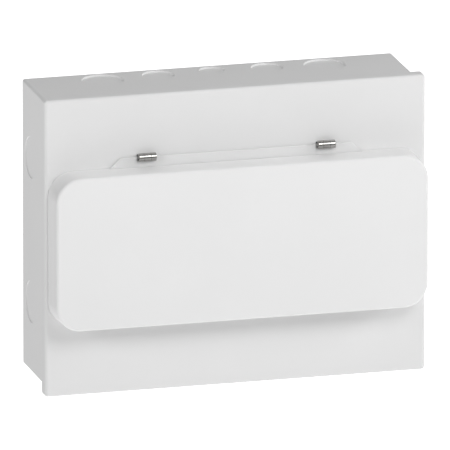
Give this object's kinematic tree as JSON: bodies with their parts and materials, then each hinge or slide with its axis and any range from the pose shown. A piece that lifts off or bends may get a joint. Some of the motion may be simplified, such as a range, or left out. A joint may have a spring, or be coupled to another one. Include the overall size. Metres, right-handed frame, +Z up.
{
  "type": "breaker panel box",
  "caption": "White sheet-metal consumer unit with a top-hinged door over a row of modular breakers on a rail, terminal bars and cable knockouts.",
  "frame": {"origin": "centre of the wall face of the back box", "axes": "+Y points into the wall and the front faces -Y; +X is to the right seen from the front; +Z is up"},
  "size_m": [0.306, 0.1083, 0.2384],
  "materials": {
    "white_powder_coat": "satin white powder coat on steel sheet",
    "polished_steel": "bare polished steel",
    "zinc_plated_steel": "bright zinc plating",
    "brass": "plain machined brass",
    "tinned_copper": "copper strip with a thin tin coat",
    "light_grey_plastic": "fine-textured moulding",
    "black_plastic": "smooth moulding",
    "red_plastic": "smooth moulding",
    "yellow_plastic": "smooth moulding",
    "blue_grey_plastic": "smooth moulding",
    "grey_plastic": "smooth extrusion"
  },
  "bodies": {
    "enclosure": {"back_box": "white_powder_coat", "breaker_1": "light_grey_plastic", "breaker_2": "light_grey_plastic", "breaker_3": "light_grey_plastic", "breaker_4": "light_grey_plastic", "breaker_5": "light_grey_plastic", "breaker_6": "light_grey_plastic", "breaker_7": "light_grey_plastic", "breaker_8": "light_grey_plastic", "busbar_comb": "tinned_copper", "busbar_shroud": "grey_plastic", "cover_bracket_left": "zinc_plated_steel", "cover_bracket_right": "zinc_plated_steel", "cover_screw_bottom_left": "zinc_plated_steel", "cover_screw_bottom_right": "zinc_plated_steel", "cover_screw_top_left": "zinc_plated_steel", "cover_screw_top_right": "zinc_plated_steel", "din_rail": "zinc_plated_steel", "earth_bar": "brass", "earth_bar_foot_left": "zinc_plated_steel", "earth_bar_foot_right": "zinc_plated_steel", "earth_nut": "zinc_plated_steel", "earth_stud": "zinc_plated_steel", "front_cover": "white_powder_coat", "hinge_bracket_left": "polished_steel", "hinge_bracket_right": "polished_steel", "hinge_pin_left": "polished_steel", "hinge_pin_right": "polished_steel", "main_switch": "light_grey_plastic", "neutral_bar": "brass", "neutral_bar_foot_left": "blue_grey_plastic", "neutral_bar_foot_right": "blue_grey_plastic", "rail_bracket_left": "zinc_plated_steel", "rail_bracket_right": "zinc_plated_steel", "rail_screw_left": "zinc_plated_steel", "rail_screw_right": "zinc_plated_steel", "rcd": "light_grey_plastic"},
    "door_assembly": {"door": "white_powder_coat", "door_hinge_flange": "white_powder_coat", "hinge_knuckle_left": "polished_steel", "hinge_knuckle_right": "polished_steel"},
    "breaker_1_toggle": {"breaker_lever_1": "black_plastic"},
    "breaker_2_toggle": {"breaker_lever_2": "black_plastic"},
    "breaker_3_toggle": {"breaker_lever_3": "black_plastic"},
    "breaker_4_toggle": {"breaker_lever_4": "black_plastic"},
    "breaker_5_toggle": {"breaker_lever_5": "black_plastic"},
    "breaker_6_toggle": {"breaker_lever_6": "black_plastic"},
    "breaker_7_toggle": {"breaker_lever_7": "black_plastic"},
    "breaker_8_toggle": {"breaker_lever_8": "black_plastic"},
    "rcd_toggle": {"rcd_lever": "black_plastic"},
    "main_toggle": {"main_switch_lever": "red_plastic"},
    "rcd_test": {"rcd_test_button": "yellow_plastic"}
  },
  "joints": [
    {"name": "door_hinge", "type": "hinge", "parent": "enclosure", "child": "door_assembly", "pos_m": [0, -0.0891, 0.0698], "axis": [-1, 0, 0], "range_deg": [0, 120]},
    {"name": "breaker_1_switch", "type": "hinge", "parent": "enclosure", "child": "breaker_1_toggle", "pos_m": [-0.0979, -0.0836, 0], "axis": [-1, 0, 0], "range_deg": [0, 80]},
    {"name": "breaker_2_switch", "type": "hinge", "parent": "enclosure", "child": "breaker_2_toggle", "pos_m": [-0.0801, -0.0836, 0], "axis": [-1, 0, 0], "range_deg": [0, 80]},
    {"name": "breaker_3_switch", "type": "hinge", "parent": "enclosure", "child": "breaker_3_toggle", "pos_m": [-0.0623, -0.0836, 0], "axis": [-1, 0, 0], "range_deg": [0, 80]},
    {"name": "breaker_4_switch", "type": "hinge", "parent": "enclosure", "child": "breaker_4_toggle", "pos_m": [-0.0445, -0.0836, 0], "axis": [-1, 0, 0], "range_deg": [0, 80]},
    {"name": "breaker_5_switch", "type": "hinge", "parent": "enclosure", "child": "breaker_5_toggle", "pos_m": [-0.0267, -0.0836, 0], "axis": [-1, 0, 0], "range_deg": [0, 80]},
    {"name": "breaker_6_switch", "type": "hinge", "parent": "enclosure", "child": "breaker_6_toggle", "pos_m": [-0.0089, -0.0836, 0], "axis": [-1, 0, 0], "range_deg": [0, 80]},
    {"name": "breaker_7_switch", "type": "hinge", "parent": "enclosure", "child": "breaker_7_toggle", "pos_m": [0.0089, -0.0836, 0], "axis": [-1, 0, 0], "range_deg": [0, 80]},
    {"name": "breaker_8_switch", "type": "hinge", "parent": "enclosure", "child": "breaker_8_toggle", "pos_m": [0.0267, -0.0836, 0], "axis": [-1, 0, 0], "range_deg": [0, 80]},
    {"name": "rcd_switch", "type": "hinge", "parent": "enclosure", "child": "rcd_toggle", "pos_m": [0.0534, -0.0836, 0], "axis": [-1, 0, 0], "range_deg": [0, 80]},
    {"name": "main_switch_throw", "type": "hinge", "parent": "enclosure", "child": "main_toggle", "pos_m": [0.089, -0.0836, 0], "axis": [-1, 0, 0], "range_deg": [0, 80]},
    {"name": "rcd_test_press", "type": "slide", "parent": "enclosure", "child": "rcd_test", "axis": [0, 1, 0], "range_m": [0, 0.0015], "stiffness_N_per_m": 400, "springref_m": -0.001}
  ]
}
